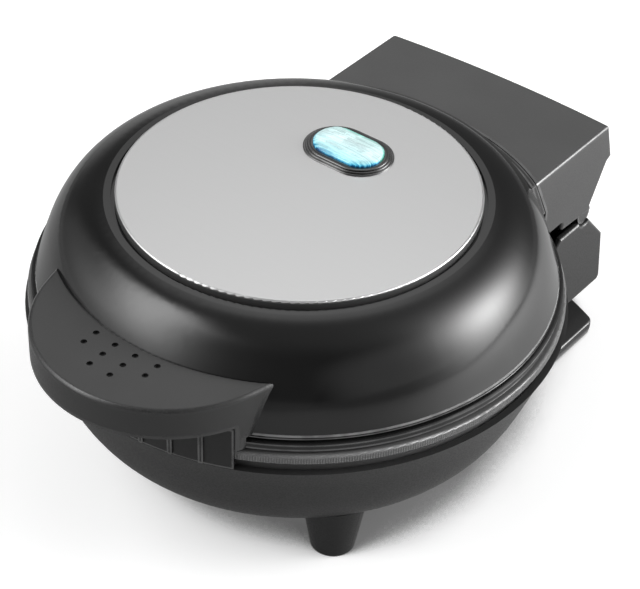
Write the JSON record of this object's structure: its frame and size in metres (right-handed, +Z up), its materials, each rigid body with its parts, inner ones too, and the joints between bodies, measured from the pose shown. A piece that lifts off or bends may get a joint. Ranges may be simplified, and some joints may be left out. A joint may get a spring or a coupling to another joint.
{
  "type": "breakfast sandwich maker",
  "caption": "Round electric sandwich maker with a hinged dome lid, steel top disc, indicator window, front grip and rear hinge housing.",
  "frame": {"origin": "middle of the footprint at table height", "axes": "+Z up, +X across with the hinge axis, handle towards -Y and hinge towards +Y"},
  "size_m": [0.2, 0.2548, 0.1129],
  "materials": {
    "bowl_plastic": "satin black moulded plastic",
    "ring_plastic": "satin black with fine ribbing",
    "guard_plastic": "satin black",
    "plate_coating": "black non-stick coating",
    "element_steel": "heat-tinted steel tube",
    "reflector_alu": "mill finish sheet",
    "screw_steel": "zinc plated",
    "ceramic_white": "ceramic",
    "fuse_body": "plain can",
    "block_nylon": "natural nylon",
    "lead_sleeve": "glass-fibre sleeve",
    "lower_housing_plastic": "fine satin texture",
    "pin_steel": "turned steel",
    "gland_plastic": "soft black",
    "tongue_plastic": "satin black",
    "foot_plastic": "satin black",
    "pad_rubber": "soft",
    "rim_plastic": "satin black",
    "dome_gloss": "high gloss black",
    "disc_steel": "fine brushed stainless steel",
    "bezel_black": "gloss black",
    "lens_clear": "clear, fluted",
    "holder_plastic": "natural nylon",
    "lamp_glass": "neon lamps, blue and green",
    "handle_plastic": "satin black",
    "upper_housing_plastic": "fine satin texture"
  },
  "bodies": {
    "base": {"base_bowl": "bowl_plastic", "base_ring": "ring_plastic", "finger_guard": "guard_plastic", "lower_plate": "plate_coating", "lower_element": "element_steel", "lower_reflector": "reflector_alu", "lower_plate_screws": "screw_steel", "thermostat": "ceramic_white", "thermal_fuse": "fuse_body", "terminal_block": "block_nylon", "inner_leads": "lead_sleeve", "lower_hinge_housing": "lower_housing_plastic", "hinge_pins": "pin_steel", "cord_gland": "gland_plastic", "cord_tongue": "tongue_plastic", "tongue_screws": "screw_steel", "lower_housing_screws": "screw_steel", "feet": "foot_plastic", "foot_pads": "pad_rubber", "foot_screws": "screw_steel"},
    "lid": {"lid_dome": "dome_gloss", "top_disc": "disc_steel", "indicator_bezel": "bezel_black", "indicator_lens": "lens_clear", "indicator_lamps": "lamp_glass", "lamp_holder": "holder_plastic", "lamp_holder_screws": "screw_steel", "lid_rim": "rim_plastic", "lid_handle": "handle_plastic", "handle_screws": "screw_steel", "upper_hinge_housing": "upper_housing_plastic", "upper_housing_screws": "screw_steel", "upper_reflector": "reflector_alu", "upper_element": "element_steel", "upper_plate": "plate_coating", "upper_plate_screws": "screw_steel", "upper_leads": "lead_sleeve"}
  },
  "joints": [
    {"name": "lid_hinge", "type": "hinge", "parent": "base", "child": "lid", "pos_m": [0, 0.1099, 0.0535], "axis": [-1, 0, 0], "range_deg": [0, 105]}
  ]
}
